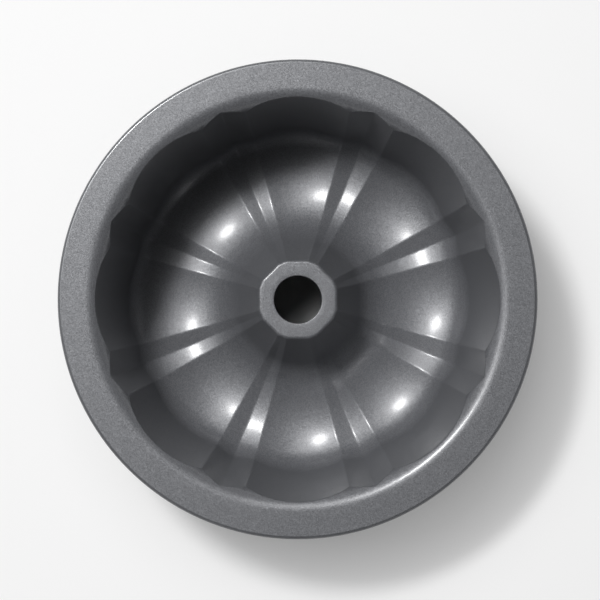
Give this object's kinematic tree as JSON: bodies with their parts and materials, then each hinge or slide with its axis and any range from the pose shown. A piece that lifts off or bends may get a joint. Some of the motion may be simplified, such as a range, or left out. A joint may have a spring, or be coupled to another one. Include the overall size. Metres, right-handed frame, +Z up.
{
  "type": "fluted tube pan",
  "caption": "Round ring cake mould with a wide flat rim, broad lobes and narrow V grooves running down the wall, over the floor and up a tall open centre tube, dark grey non-stick steel.",
  "frame": {"origin": "middle of the base, on the surface that the pan stands on", "axes": "+Z up along the tube's axis towards the open rim; +X through the middle of one lobe"},
  "size_m": [0.2494, 0.2494, 0.086],
  "materials": {
    "outer_coat": "satin dark grey baked coat on carbon steel",
    "wire": "drawn steel wire",
    "lining": "semi-gloss dark grey release coat with fine metallic flake"
  },
  "bodies": {
    "root": {"pan_shell": "outer_coat", "rim_wire": "wire", "nonstick_lining": "lining"}
  },
  "joints": []
}
